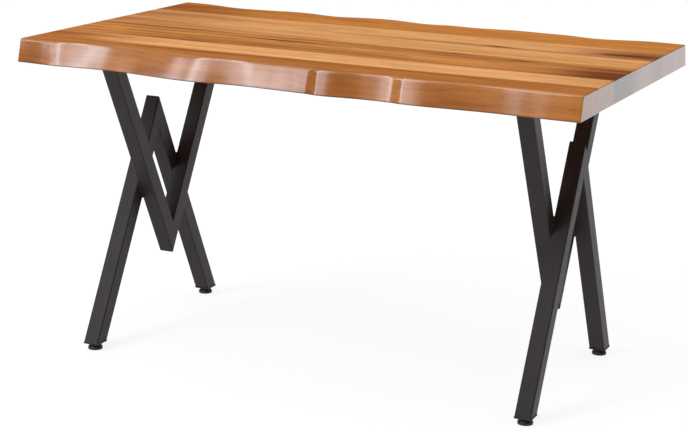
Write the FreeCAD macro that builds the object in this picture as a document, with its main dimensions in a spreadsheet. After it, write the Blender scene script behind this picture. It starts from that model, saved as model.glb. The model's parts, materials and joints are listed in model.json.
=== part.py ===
import FreeCAD, Part
import os
import Sketcher

# Outdoor dining table: a live-edge hardwood top on two black frames of square tube.
# Millimetres. X runs along the top, Y from the front edge to the rear edge, Z up from the floor.
# The origin lies on the floor, midway between the four feet.
SIZES = {
    # The top and its six boards. Reach is the furthest a live edge's foot stands from the middle,
    # hollow the depth of its deepest bay, and slope the most that its upper edge sets back.
    "table_height": 780.0,
    "top_length": 1400.0,
    "top_thickness": 55.0,
    "arris": 2.0,
    "front_reach": 436.0,
    "front_hollow": 36.0,
    "front_slope": 34.0,
    "rear_reach": 445.0,
    "rear_hollow": 40.0,
    "rear_slope": 27.0,
    "front_glue_line": 312.0,
    "front_inner_width": 108.0,
    "front_centre_width": 182.0,
    "rear_centre_width": 116.0,
    "rear_inner_width": 149.0,
    # The leg frames. The overhang runs from a sawn end to the plane where the two V shapes meet.
    "end_overhang": 155.0,
    "tube_side": 40.0,
    "tube_wall": 2.0,
    "tube_corner": 3.0,
    "v_apex_height": 189.0,
    "v_half_spread": 285.5,
    "inverted_apex_height": 595.0,
    "inverted_half_spread": 306.5,
    # The plates that hold the frames under the top, with their bolts and threaded inserts.
    "plate_side": 100.0,
    "plate_thickness": 5.0,
    "plate_corner": 8.0,
    "bolt_spacing": 72.0,
    "bolt_diameter": 8.0,
    "bolt_length": 20.0,
    "bolt_hole_clearance": 0.5,
    "bolt_head_diameter": 14.0,
    "bolt_head_height": 4.4,
    "bolt_head_round": 3.0,
    "bolt_socket_flats": 5.0,
    "bolt_socket_depth": 2.5,
    "insert_diameter": 12.0,
    "insert_length": 18.0,
    "insert_hole_depth": 21.0,
    # The levelling feet: pad, stud, nut and the plug that closes the tube.
    "pad_diameter": 36.0,
    "pad_rim_height": 5.0,
    "pad_rim_round": 1.5,
    "pad_hub_diameter": 27.0,
    "pad_height": 12.0,
    "collar_flats": 14.0,
    "collar_height": 4.0,
    "stud_diameter": 8.0,
    "stud_length": 28.0,
    "stud_tip_chamfer": 1.0,
    "journal_diameter": 9.0,
    "journal_length": 8.0,
    "plug_flange": 3.0,
    "plug_lip": 1.0,
    "plug_corner": 4.0,
    "plug_spigot": 16.0,
    "plug_bore_clearance": 0.3,
    "nut_flats": 13.0,
    "nut_height": 6.5,
    "nut_seat": 4.0,
    # Fits: running and seating gaps on each side, and how far cuts run past the solid.
    "running_clearance": 0.05,
    "seat_clearance": 0.1,
    "overrun": 5.0,
}

# The live edges from the left end to the right: place as a share of half the length, bay as a share
# of the hollow, and set-back of the upper edge as a share of the slope.
FRONT_EDGE_SHARES = (
    (-1.00, 0.94, 0.43),
    (-0.88, 0.75, 0.58),
    (-0.845, 0.81, 0.67),
    (-0.755, 0.94, 0.89),
    (-0.65, 1.00, 0.98),
    (-0.53, 0.78, 0.98),
    (-0.40, 0.39, 0.89),
    (-0.285, 0.25, 0.76),
    (-0.185, 0.50, 0.49),
    (-0.025, 0.47, 0.43),
    (0.085, 0.17, 0.52),
    (0.185, 0.06, 0.58),
    (0.295, 0.36, 0.43),
    (0.375, 0.19, 0.43),
    (0.48, 0.03, 0.52),
    (0.615, 0.19, 0.58),
    (0.745, 0.25, 0.61),
    (0.915, 0.06, 0.58),
    (1.00, 0.11, 0.43),
)
REAR_EDGE_SHARES = (
    (-1.00, 0.02, 1.00),
    (-0.855, 0.38, 0.78),
    (-0.75, 0.88, 0.81),
    (-0.615, 0.72, 0.74),
    (-0.45, 0.50, 0.81),
    (-0.34, 0.90, 0.81),
    (-0.19, 0.32, 0.81),
    (-0.05, 0.55, 0.78),
    (0.05, 0.90, 0.70),
    (0.11, 0.63, 0.78),
    (0.24, 0.72, 0.74),
    (0.36, 0.38, 0.81),
    (0.50, 0.50, 0.78),
    (0.57, 0.55, 0.74),
    (0.67, 0.92, 0.74),
    (0.755, 0.82, 0.74),
    (0.83, 0.43, 0.70),
    (0.945, 0.32, 0.67),
    (1.00, 0.43, 0.59),
)

doc = FreeCAD.newDocument("OutdoorDiningTable")
sheet = doc.addObject("Spreadsheet::Sheet", "Sizes")
for row, (name, size) in enumerate(SIZES.items(), start=1):
    sheet.set(f"A{row}", name)
    sheet.set(f"B{row}", str(size))
    sheet.setAlias(f"B{row}", name)
doc.recompute()

# Formulas that several pieces share. The two leans are measured from upright.
HALF_LENGTH = "Sizes.top_length / 2"
TOP_UNDERSIDE = "(Sizes.table_height - Sizes.top_thickness)"
PLATE_UNDERSIDE = f"({TOP_UNDERSIDE} - Sizes.plate_thickness)"
FRAME_PLANE = "(Sizes.top_length / 2 - Sizes.end_overhang)"
V_LINE = f"({FRAME_PLANE} - Sizes.tube_side / 2)"
INVERTED_LINE = f"({FRAME_PLANE} + Sizes.tube_side / 2)"
V_RISE = f"({PLATE_UNDERSIDE} - Sizes.v_apex_height)"
V_LEAN = f"atan(Sizes.v_half_spread / {V_RISE})"
V_TOP_CENTRE = f"(Sizes.v_half_spread - Sizes.tube_side / cos({V_LEAN}) / 2)"
PLUG_UNDERSIDE = "(Sizes.pad_height + Sizes.collar_height)"
TUBE_END = f"({PLUG_UNDERSIDE} + Sizes.plug_flange)"
INVERTED_RISE = f"(Sizes.inverted_apex_height - {TUBE_END})"
INVERTED_LEAN = f"atan(Sizes.inverted_half_spread / {INVERTED_RISE})"
FOOT_CENTRE = f"(Sizes.inverted_half_spread - Sizes.tube_side / cos({INVERTED_LEAN}) / 2)"
TUBE_BORE = "(Sizes.tube_side - 2 * Sizes.tube_wall)"
NUT_BORE = "(Sizes.stud_diameter + 2 * Sizes.running_clearance)"

SIDES = (("left", -1), ("right", 1))
ENDS = (("front", -1), ("rear", 1))
nodes = []


def value(formula):
    """A formula's present value as a plain number."""
    result = sheet.evalExpression(formula)
    return getattr(result, "Value", result)


def new_body(label):
    body = doc.addObject("PartDesign::Body", label)
    body.Label = label
    return body


def place(piece, across, along, up):
    """Moves a piece to a place given by three formulas."""
    for axis, formula in (("x", across), ("y", along), ("z", up)):
        piece.setExpression(f"Placement.Base.{axis}", formula)


def sketch_on(body, role, lift="0"):
    """A sketch on one of the body's own origin planes, lifted along the plane's normal."""
    sketch = body.newObject("Sketcher::SketchObject", f"{body.Name}_sketch")
    plane = next(feature for feature in body.Origin.OriginFeatures if feature.Role == role)
    sketch.AttachmentSupport = (plane, [""])
    sketch.MapMode = "FlatFace"
    sketch.setExpression("AttachmentOffset.Base.z", lift)
    return sketch


def hold(sketch, kind, point, formula):
    """Binds a point's distance from the sketch's origin to a formula."""
    index = sketch.addConstraint(Sketcher.Constraint(kind, -1, 1, *point, value(formula)))
    sketch.setExpression(f"Constraints[{index}]", formula)


def polygon(sketch, corners):
    """Draws a closed outline whose corners are pairs of formulas."""
    points = [FreeCAD.Vector(value(across), value(up), 0) for across, up in corners]
    for start, end in zip(points, points[1:] + points[:1]):
        sketch.addGeometry(Part.LineSegment(start, end))
    for index, (across, up) in enumerate(corners):
        following = (index + 1) % len(corners)
        sketch.addConstraint(Sketcher.Constraint("Coincident", index, 2, following, 1))
        hold(sketch, "DistanceX", (index, 1), across)
        hold(sketch, "DistanceY", (index, 1), up)


def rectangle(sketch, width, depth):
    """Draws a rectangle round the sketch's origin."""
    right = f"{width} / 2"
    rear = f"{depth} / 2"
    polygon(sketch, [(f"-{right}", f"-{rear}"), (right, f"-{rear}"), (right, rear), (f"-{right}", rear)])


def hexagon(sketch, flats):
    """Draws a hexagon round the sketch's origin, with flats to the left and right."""
    side = f"{flats} / 2"
    shoulder = f"{flats} / 2 * tan(30 deg)"
    tip = f"{flats} / 2 / cos(30 deg)"
    polygon(sketch, [
        (side, f"-{shoulder}"), (side, shoulder), ("0", tip),
        (f"-{side}", shoulder), (f"-{side}", f"-{shoulder}"), ("0", f"-{tip}"),
    ])


def circle(sketch, diameter, across="0", up="0"):
    centre = FreeCAD.Vector(value(across), value(up), 0)
    normal = FreeCAD.Vector(0, 0, 1)
    index = sketch.addGeometry(Part.Circle(centre, normal, value(diameter) / 2))
    hold(sketch, "DistanceX", (index, 3), across)
    hold(sketch, "DistanceY", (index, 3), up)
    size = sketch.addConstraint(Sketcher.Constraint("Diameter", index, value(diameter)))
    sketch.setExpression(f"Constraints[{size}]", diameter)


def extrude(kind, sketch, length, side_type="One side", reverse=False):
    """Pads or pockets a sketch by a formula's length."""
    feature = sketch.getParentGeoFeatureGroup().newObject(f"PartDesign::{kind}", f"{sketch.Name}_{kind}")
    feature.Profile = sketch
    feature.SideType = side_type
    feature.Reversed = reverse
    feature.setExpression("Length", length)
    doc.recompute()
    return feature


def revolve(sketch):
    """Turns a half profile about the sketch's upright axis."""
    body = sketch.getParentGeoFeatureGroup()
    feature = body.newObject("PartDesign::Revolution", f"{sketch.Name}_Revolution")
    feature.Profile = sketch
    feature.ReferenceAxis = (sketch, ["V_Axis"])
    doc.recompute()
    return feature


def dress(kind, feature, chosen, formula):
    """Rounds or chamfers the edges of a feature that a test chooses."""
    names = [f"Edge{i}" for i, edge in enumerate(feature.Shape.Edges, start=1) if chosen(edge)]
    dressed = feature.getParentGeoFeatureGroup().newObject(f"PartDesign::{kind}", f"{feature.Name}_{kind}")
    dressed.Base = (feature, names)
    dressed.setExpression("Radius" if kind == "Fillet" else "Size", formula)
    doc.recompute()
    return dressed


def runs_along(edge, axis):
    """Whether an edge is straight and parallel to an axis vector."""
    return isinstance(edge.Curve, Part.Line) and edge.Curve.Direction.isParallel(axis, 1e-6)


ALONG_Y = FreeCAD.Vector(0, 1, 0)
ALONG_Z = FreeCAD.Vector(0, 0, 1)


def upright(edge):
    return runs_along(edge, ALONG_Z)


def sawn_end_edge(edge):
    """The long edges of a board's two sawn ends, above and below."""
    return runs_along(edge, ALONG_Y)


def board_blank(name, front_line, rear_line):
    """A straight board as thick and as long as the top, with the edges of its sawn ends eased."""
    body = new_body(f"{name}_blank")
    sketch = sketch_on(body, "XY_Plane")
    polygon(sketch, [
        (f"-{HALF_LENGTH}", front_line), (HALF_LENGTH, front_line),
        (HALF_LENGTH, rear_line), (f"-{HALF_LENGTH}", rear_line),
    ])
    blank = extrude("Pad", sketch, "Sizes.top_thickness")
    dress("Chamfer", blank, sawn_end_edge, "Sizes.arris")
    place(body, "0", "0", TOP_UNDERSIDE)
    return body


def waste_outline(sketch, edge_points, outer_line):
    """Outlines the wood outside a live edge: the edge as one smooth curve, closed beyond the board."""
    live_edge = Part.BSplineCurve()
    live_edge.interpolate(edge_points)
    corners = [edge_points[-1]]
    corners.append(FreeCAD.Vector(edge_points[-1].x, outer_line, 0))
    corners.append(FreeCAD.Vector(edge_points[0].x, outer_line, 0))
    corners.append(edge_points[0])
    sketch.addGeometry(live_edge)
    for start, end in zip(corners, corners[1:]):
        sketch.addGeometry(Part.LineSegment(start, end))
    for index in range(len(corners)):
        following = (index + 1) % len(corners)
        sketch.addConstraint(Sketcher.Constraint("Coincident", index, 2, following, 1))


def live_edge_board(name, facing, glue_line, end, edge_shares):
    """An outer board: a blank whose outer side is cut to a wavy, sloping live edge.

    The cut is lofted through three levels: the underside, the start of the eased arris, and the top.
    """
    spare_line = f"{facing} * (Sizes.{end}_reach + Sizes.overrun)"
    body = board_blank(name, *((spare_line, glue_line) if facing < 0 else (glue_line, spare_line)))
    reach = value(f"Sizes.{end}_reach")
    hollow = value(f"Sizes.{end}_hollow")
    slope = value(f"Sizes.{end}_slope")
    half_length = value(HALF_LENGTH)
    overrun = value("Sizes.overrun")
    arris = value("Sizes.arris")
    shoulder_share = 1 - arris / value("Sizes.top_thickness")
    outlines = []
    for lift, risen_share, eased in (
        ("0", 0, 0),
        ("Sizes.top_thickness - Sizes.arris", shoulder_share, 0),
        ("Sizes.top_thickness", shoulder_share, arris),
    ):
        points = []
        for place_share, bay_share, slope_share in edge_shares:
            stand = reach - hollow * bay_share - slope * slope_share * risen_share - eased
            points.append(FreeCAD.Vector(half_length * place_share, facing * stand, 0))
        run_in = points[0] - FreeCAD.Vector(overrun, 0, 0)
        run_out = points[-1] + FreeCAD.Vector(overrun, 0, 0)
        sketch = sketch_on(body, "XY_Plane", lift)
        waste_outline(sketch, [run_in, *points, run_out], facing * (reach + 2 * overrun))
        outlines.append(sketch)
    cut = body.newObject("PartDesign::SubtractiveLoft", f"{body.Name}_live_edge")
    cut.Profile = outlines[0]
    cut.Sections = outlines[1:]
    cut.Ruled = True
    doc.recompute()
    return body


def drilled(name, blank, drills):
    """A board with the insert holes that fall in it drilled from below."""
    board = doc.addObject("Part::Cut", name)
    board.Label = name
    board.Base = blank
    board.Tool = drills
    nodes.append(board)


def square_tube(name, facing, low, high):
    """A hollow square tube, standing on end, cut at both ends.

    low and high give the cut's height at a depth behind the tube's outer face.
    """
    body = new_body(name)

    def side_view(near, far, spare):
        corners = [(near, f"{low(near)} - {spare}"), (far, f"{low(far)} - {spare}"),
                   (far, f"{high(far)} + {spare}"), (near, f"{high(near)} + {spare}")]
        sketch = sketch_on(body, "YZ_Plane")
        polygon(sketch, [(f"{-facing} * {depth}", height) for depth, height in corners])
        return sketch

    solid = extrude("Pad", side_view("0", "Sizes.tube_side", "0"), "Sizes.tube_side", "Symmetric")
    dress("Fillet", solid, upright, "Sizes.tube_corner")
    bore = side_view("Sizes.tube_wall", "(Sizes.tube_side - Sizes.tube_wall)", "Sizes.overrun")
    extrude("Pocket", bore, TUBE_BORE, "Symmetric")
    nodes.append(body)
    return body


def lean_over(body, formula):
    """Leans an upright piece about the X axis."""
    body.Placement = FreeCAD.Placement(FreeCAD.Vector(), FreeCAD.Rotation(FreeCAD.Vector(1, 0, 0), 0))
    body.setExpression("Placement.Rotation.Angle", formula)


def v_tube(side, across, end, facing):
    """A limb of the V: mitred where the two limbs meet, cut level under its plate."""
    body = square_tube(
        f"{side}_v_{end}_tube", facing,
        lambda depth: f"{depth} / tan({V_LEAN})",
        lambda depth: f"({V_RISE} - {depth} * sin({V_LEAN})) / cos({V_LEAN})",
    )
    lean_over(body, f"{-facing} * {V_LEAN}")
    place(body, f"{across} * {V_LINE}", "0", "Sizes.v_apex_height")


def inverted_v_tube(side, across, end, facing):
    """A limb of the upside-down V: cut level above its foot, mitred at the apex."""
    body = square_tube(
        f"{side}_inverted_v_{end}_tube", facing,
        lambda depth: f"{depth} * tan({INVERTED_LEAN})",
        lambda depth: f"(Sizes.inverted_half_spread - {depth} * cos({INVERTED_LEAN})) / sin({INVERTED_LEAN})",
    )
    lean_over(body, f"{facing} * {INVERTED_LEAN}")
    place(body, f"{across} * {INVERTED_LINE}", f"{facing} * Sizes.inverted_half_spread", TUBE_END)


def bolt_places():
    """The four bolt places round a plate's centre, as pairs of formulas."""
    return [(f"{along} * Sizes.bolt_spacing / 2", f"{back} * Sizes.bolt_spacing / 2")
            for along in (-1, 1) for back in (-1, 1)]


def mounting_plate(side, across, end, facing):
    """A plate welded to the top of a V limb, with four bolt holes."""
    body = new_body(f"{side}_{end}_mounting_plate")
    outline = sketch_on(body, "XY_Plane")
    rectangle(outline, "Sizes.plate_side", "Sizes.plate_side")
    plate = extrude("Pad", outline, "Sizes.plate_thickness")
    dress("Fillet", plate, upright, "Sizes.plate_corner")
    holes = sketch_on(body, "XY_Plane")
    for along, back in bolt_places():
        circle(holes, "(Sizes.bolt_diameter + 2 * Sizes.bolt_hole_clearance)", along, back)
    extrude("Pocket", holes, "Sizes.plate_thickness", reverse=True)
    place(body, f"{across} * {V_LINE}", f"{facing} * {V_TOP_CENTRE}", PLATE_UNDERSIDE)
    nodes.append(body)


def bolt_pattern():
    """A button-head bolt, seated at the origin with its shank upwards."""
    body = new_body("bolt_pattern")
    head_sketch = sketch_on(body, "XY_Plane")
    circle(head_sketch, "Sizes.bolt_head_diameter")
    head = extrude("Pad", head_sketch, "Sizes.bolt_head_height", reverse=True)

    def lower_rim(edge):
        return edge.BoundBox.ZMax < -value("Sizes.bolt_head_height") / 2 and isinstance(edge.Curve, Part.Circle)

    dress("Fillet", head, lower_rim, "Sizes.bolt_head_round")
    shank = sketch_on(body, "XY_Plane")
    circle(shank, "Sizes.bolt_diameter")
    extrude("Pad", shank, "Sizes.bolt_length")
    socket = sketch_on(body, "XY_Plane", "-Sizes.bolt_head_height")
    hexagon(socket, "Sizes.bolt_socket_flats")
    extrude("Pocket", socket, "Sizes.bolt_socket_depth", reverse=True)
    return body


def insert_pattern():
    """A threaded insert, a plain sleeve that stands on the origin."""
    body = new_body("insert_pattern")
    sleeve = sketch_on(body, "XY_Plane")
    circle(sleeve, "Sizes.insert_diameter")
    circle(sleeve, "(Sizes.bolt_diameter + 2 * Sizes.running_clearance)")
    extrude("Pad", sleeve, "Sizes.insert_length")
    return body


def drill_pattern():
    """What the drill takes out for one insert."""
    drill = doc.addObject("Part::Cylinder", "drill_pattern")
    drill.setExpression("Radius", "Sizes.insert_diameter / 2 + Sizes.seat_clearance")
    drill.setExpression("Height", "Sizes.insert_hole_depth + Sizes.overrun")
    doc.recompute()
    return drill


def repeated(label, pattern, places, up):
    """One group of separate solids: the pattern's shape at each place, at one height."""
    group = doc.addObject("Part::Feature", label)
    group.Label = label
    copies = []
    for across, along in places:
        spot = FreeCAD.Vector(value(across), value(along), value(up))
        copies.append(pattern.Shape.translated(spot))
    group.Shape = Part.makeCompound(copies)
    return group


def hexagon_prism(body, flats, length):
    sketch = sketch_on(body, "XY_Plane")
    hexagon(sketch, flats)
    return extrude("Pad", sketch, length)


def nut_pattern():
    """A plain hexagon nut that stands on the origin."""
    body = new_body("nut_pattern")
    hexagon_prism(body, "Sizes.nut_flats", "Sizes.nut_height")
    bore = sketch_on(body, "XY_Plane")
    circle(bore, NUT_BORE)
    extrude("Pocket", bore, "Sizes.nut_height", reverse=True)
    return body


def tube_plug(side, across, end, facing):
    """A moulded plug: flange under the tube's end, leaning spigot inside it, nut in its middle."""
    body = new_body(f"{side}_{end}_tube_plug")
    flange_sketch = sketch_on(body, "XY_Plane")
    lips = "2 * Sizes.plug_lip"
    rectangle(flange_sketch, f"(Sizes.tube_side + {lips})",
              f"(Sizes.tube_side / cos({INVERTED_LEAN}) + {lips})")
    flange = extrude("Pad", flange_sketch, "Sizes.plug_flange")
    dress("Fillet", flange, upright, "Sizes.plug_corner")
    spigot_side = f"({TUBE_BORE} - 2 * Sizes.seat_clearance)"
    half = f"{spigot_side} / cos({INVERTED_LEAN}) / 2"
    drift = f"{-facing} * Sizes.plug_spigot * tan({INVERTED_LEAN})"
    spigot_top = "Sizes.plug_flange + Sizes.plug_spigot"
    spigot = sketch_on(body, "YZ_Plane")
    polygon(spigot, [
        (f"-{half}", "Sizes.plug_flange"), (half, "Sizes.plug_flange"),
        (f"{drift} + {half}", spigot_top), (f"{drift} - {half}", spigot_top),
    ])
    extrude("Pad", spigot, spigot_side, "Symmetric")
    bore = sketch_on(body, "XY_Plane")
    circle(bore, "(Sizes.stud_diameter + 2 * Sizes.plug_bore_clearance)")
    extrude("Pocket", bore, f"{spigot_top} + Sizes.overrun", reverse=True)
    nut_room = sketch_on(body, "XY_Plane", "Sizes.plug_flange + Sizes.nut_seat")
    hexagon(nut_room, "(Sizes.nut_flats + 2 * Sizes.seat_clearance)")
    extrude("Pocket", nut_room, "Sizes.nut_height", reverse=True)
    place(body, f"{across} * {INVERTED_LINE}", f"{facing} * {FOOT_CENTRE}", PLUG_UNDERSIDE)
    nodes.append(body)


def foot_stud(side, across, end, facing):
    """A stud with a hexagon collar, a plain shank for the thread and a journal in the pad."""
    body = new_body(f"{side}_{end}_foot_stud")
    hexagon_prism(body, "Sizes.collar_flats", "Sizes.collar_height")
    journal = sketch_on(body, "XY_Plane")
    circle(journal, "Sizes.journal_diameter")
    extrude("Pad", journal, "Sizes.journal_length", reverse=True)
    shank_sketch = sketch_on(body, "XY_Plane", "Sizes.collar_height")
    circle(shank_sketch, "Sizes.stud_diameter")
    shank = extrude("Pad", shank_sketch, "Sizes.stud_length")
    tip = value("Sizes.collar_height + Sizes.stud_length / 2")
    dress("Chamfer", shank, lambda edge: edge.BoundBox.ZMin > tip, "Sizes.stud_tip_chamfer")
    place(body, f"{across} * {INVERTED_LINE}", f"{facing} * {FOOT_CENTRE}", "Sizes.pad_height")
    nodes.append(body)


def foot_pad(side, across, end, facing):
    """A round pad: flat base, rounded rim, cone up to its hub and a blind bore for the journal."""
    body = new_body(f"{side}_{end}_foot_pad")
    bore = "(Sizes.journal_diameter / 2 + Sizes.running_clearance)"
    floor = "(Sizes.pad_height - Sizes.journal_length)"
    profile = sketch_on(body, "XZ_Plane")
    polygon(profile, [
        ("0", "0"), ("Sizes.pad_diameter / 2", "0"), ("Sizes.pad_diameter / 2", "Sizes.pad_rim_height"),
        ("Sizes.pad_hub_diameter / 2", "Sizes.pad_height"), (bore, "Sizes.pad_height"), (bore, floor),
        ("0", floor),
    ])
    turned = revolve(profile)
    rim = value("Sizes.pad_diameter / 2")

    def shoulder(edge):
        return edge.BoundBox.XMax > rim - 1e-6 and edge.BoundBox.ZMin > value("Sizes.pad_rim_height") / 2

    dress("Fillet", turned, shoulder, "Sizes.pad_rim_round")
    place(body, f"{across} * {INVERTED_LINE}", f"{facing} * {FOOT_CENTRE}", "0")
    nodes.append(body)


def leg_frame(side, across):
    """One leg frame with its plates, plugs and feet."""
    for end, facing in ENDS:
        for make in (v_tube, inverted_v_tube, mounting_plate, tube_plug, foot_stud, foot_pad):
            make(side, across, end, facing)


def frame_bolt_places(across):
    """The eight bolt places of one frame."""
    return [(f"{across} * {V_LINE} + {along}", f"{facing} * {V_TOP_CENTRE} + {back}")
            for _, facing in ENDS for along, back in bolt_places()]


def frame_fasteners(side, across, bolt, insert, nut):
    """One frame's bolts, inserts and foot nuts, each kind as one node."""
    places = frame_bolt_places(across)
    feet = [(f"{across} * {INVERTED_LINE}", f"{facing} * {FOOT_CENTRE}") for _, facing in ENDS]
    nodes.append(repeated(f"{side}_mounting_bolts", bolt, places, PLATE_UNDERSIDE))
    nodes.append(repeated(f"{side}_threaded_inserts", insert, places, TOP_UNDERSIDE))
    nodes.append(repeated(f"{side}_foot_nuts", nut, feet, f"{TUBE_END} + Sizes.nut_seat"))


def table_top():
    """The six boards from front to rear, drilled from below for the inserts."""
    places = [spot for _, across in SIDES for spot in frame_bolt_places(across)]
    drills = repeated("insert_holes", drill_pattern(), places, f"{TOP_UNDERSIDE} - Sizes.overrun")
    glue_line = "-Sizes.front_glue_line"
    front = live_edge_board("front_live_edge_board", -1, glue_line, "front", FRONT_EDGE_SHARES)
    drilled("front_live_edge_board", front, drills)
    for name in ("front_inner", "front_centre", "rear_centre", "rear_inner"):
        rear_line = f"({glue_line} + Sizes.{name}_width)"
        drilled(f"{name}_board", board_blank(f"{name}_board", glue_line, rear_line), drills)
        glue_line = rear_line
    rear = live_edge_board("rear_live_edge_board", 1, glue_line, "rear", REAR_EDGE_SHARES)
    drilled("rear_live_edge_board", rear, drills)


def check_and_write():
    """Checks every object and every piece, then writes each piece to its own file."""
    doc.recompute()
    for item in doc.Objects:
        if "Invalid" in item.State or "Error" in item.State:
            raise RuntimeError(f"{item.Label} is {item.State}")
    for node in nodes:
        if node.Shape.isNull() or not node.Shape.isValid() or not node.Shape.Solids:
            raise RuntimeError(f"{node.Label} has no valid solid")
    os.makedirs("parts", exist_ok=True)
    for node in nodes:
        node.Shape.exportStep(f"parts/{node.Label}.step")
        print(node.Label, len(node.Shape.Solids), "solids", round(node.Shape.Volume), "mm3")


table_top()
bolt = bolt_pattern()
insert = insert_pattern()
nut = nut_pattern()
for side, across in SIDES:
    leg_frame(side, across)
    frame_fasteners(side, across, bolt, insert, nut)
check_and_write()
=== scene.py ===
# %% [markdown]
# # A live-edge dining table on crossed black legs
#
# The table is a thick top of six walnut boards, glued edge to edge and varnished, on two frames of black
# square tube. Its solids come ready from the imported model, at their true size and place, so this lesson
# dresses them: it mixes each finish from nodes, adds the small parts that a solid leaves out, and sets up
# a camera and a soft studio. Everything is in metres, with X along the top, Y from front to rear and Z up.

import json
import math

import bpy
from mathutils import Matrix, Vector


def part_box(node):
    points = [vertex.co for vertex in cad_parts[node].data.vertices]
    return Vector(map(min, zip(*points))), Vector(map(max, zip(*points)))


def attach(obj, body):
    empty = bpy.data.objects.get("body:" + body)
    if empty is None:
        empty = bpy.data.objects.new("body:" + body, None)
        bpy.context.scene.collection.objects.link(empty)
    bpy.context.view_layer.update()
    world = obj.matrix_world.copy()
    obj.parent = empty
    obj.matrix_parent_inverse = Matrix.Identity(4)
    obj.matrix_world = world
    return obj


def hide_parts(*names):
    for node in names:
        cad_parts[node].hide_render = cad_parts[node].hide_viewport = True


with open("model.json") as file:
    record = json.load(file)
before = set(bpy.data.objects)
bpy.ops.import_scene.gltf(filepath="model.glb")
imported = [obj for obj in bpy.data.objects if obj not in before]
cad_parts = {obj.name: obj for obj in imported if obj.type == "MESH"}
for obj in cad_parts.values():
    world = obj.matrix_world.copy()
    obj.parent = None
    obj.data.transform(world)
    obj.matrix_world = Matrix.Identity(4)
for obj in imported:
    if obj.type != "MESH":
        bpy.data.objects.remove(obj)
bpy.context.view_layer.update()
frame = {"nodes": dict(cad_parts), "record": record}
nodes = frame["nodes"]
MM = 0.001

# %% [markdown]
# ## Three small helpers
#
# Colours are written as sRGB hex values, the way a paint chart gives them, and shaders want linear light,
# so one function converts them. Materials are graphs of nodes. One function adds any node, sets its
# properties, and fills its inputs with numbers or with links from other nodes. A third starts an empty
# material.


# %% Colour and node helpers
def linear(hex_colour):
    """An sRGB hex colour as linear red, green, blue and alpha, by the sRGB standard's own curve."""
    shares = [int(hex_colour[place:place + 2], 16) / 255 for place in (1, 3, 5)]
    light = [share / 12.92 if share <= 0.04045 else ((share + 0.055) / 1.055) ** 2.4 for share in shares]
    return (*light, 1.0)


def add_node(tree, kind, inputs=(), **settings):
    """Adds a node; inputs maps a socket's name or number to a value or to another node's output."""
    node = tree.nodes.new(kind)
    for name, setting in settings.items():
        setattr(node, name, setting)
    for key, value in dict(inputs).items():
        if isinstance(value, bpy.types.NodeSocket):
            tree.links.new(value, node.inputs[key])
        else:
            node.inputs[key].default_value = value
    return node


def new_material(name):
    """An empty material and its node tree."""
    material = bpy.data.materials.new(name)
    material.use_nodes = True
    material.node_tree.nodes.clear()
    return material, material.node_tree


# A colour Mix node keeps its sockets under these numbers.
MIX_FACTOR, MIX_A, MIX_B, MIX_RESULT = 0, 6, 7, 2
print("linear mid grey:", round(linear("#808080")[0], 3))

# %% [markdown]
# ## Varnished walnut
#
# Walnut has a brown heart and pale sapwood, so boards from one log differ a lot in tone. A tree grows in
# rings round its pith. A board is a slice through those rings: long streaks on its faces, arcs on its sawn
# ends. A picture wrapped round the board would not meet at the edges, so the grain is solid instead: it
# reads the point's own place in the wood, and every face cuts through the same rings. Bands and streaks
# come from a noise that is drawn out along the board. Soft, long patches go where this top has darker
# heartwood, or paler wood. The broad patches at the left end of the boards are painted shade: they make
# that end darker and more orange, where less sheen shows.

# %% The wood's patterns: rings, streaks and patches
WANDER_LENGTH, WANDER_WIDTH, WANDER_SHIFT = 340 * MM, 90 * MM, 36 * MM
RING_WIDTH = 9 * MM
RING_PERIOD = math.pi / 10     # a Wave texture of scale 1 repeats after this length
WAVER_SHARE = 0.07             # how fast the rings waver along the board, against across it
PATCH_CORE = 0.1               # the share of a patch's half size that has its full tone


def wood_place(tree):
    """Where a point lies in the wood, with the grain's slow wander added across the board."""
    place = add_node(tree, "ShaderNodeTexCoord").outputs["Object"]
    slow = add_node(tree, "ShaderNodeMapping", {
        "Vector": place, "Scale": (1 / WANDER_LENGTH, 1 / WANDER_WIDTH, 1 / WANDER_WIDTH)})
    wander = add_node(tree, "ShaderNodeTexNoise", {
        "Vector": slow.outputs[0], "Scale": 1.0, "Detail": 2.0, "Roughness": 0.5})
    centred = add_node(tree, "ShaderNodeVectorMath", {
        0: wander.outputs["Color"], 1: (0.5, 0.5, 0.5)}, operation="SUBTRACT")
    shift = add_node(tree, "ShaderNodeVectorMath", {
        0: centred.outputs[0], 1: (0.0, WANDER_SHIFT, WANDER_SHIFT)}, operation="MULTIPLY")
    bent = add_node(tree, "ShaderNodeVectorMath", {0: place, 1: shift.outputs[0]}, operation="ADD")
    return bent.outputs[0]


def growth_rings(tree, bent, pith):
    """Rings round a pith that runs along the board, at a place (across, up) in millimetres."""
    about_pith = add_node(tree, "ShaderNodeMapping", {
        "Vector": bent, "Location": (0.0, -pith[0] * MM, -pith[1] * MM), "Scale": (WAVER_SHARE, 1.0, 1.0)})
    rings = add_node(tree, "ShaderNodeTexWave", {
        "Vector": about_pith.outputs[0], "Scale": RING_PERIOD / RING_WIDTH, "Distortion": 2.5,
        "Detail": 2.0, "Detail Scale": 1.2}, wave_type="RINGS", rings_direction="X", wave_profile="SAW")
    return rings.outputs["Fac"]


def streaks(tree, bent, seed, length, width):
    """Soft streaks along the grain, of about this length and width."""
    drawn_out = add_node(tree, "ShaderNodeMapping", {
        "Vector": bent, "Location": (seed, seed, 0.0), "Scale": (1 / length, 1 / width, 1 / width)})
    streaky = add_node(tree, "ShaderNodeTexNoise", {
        "Vector": drawn_out.outputs[0], "Scale": 1.0, "Detail": 3.0, "Roughness": 0.5})
    return streaky.outputs["Fac"]


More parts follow.
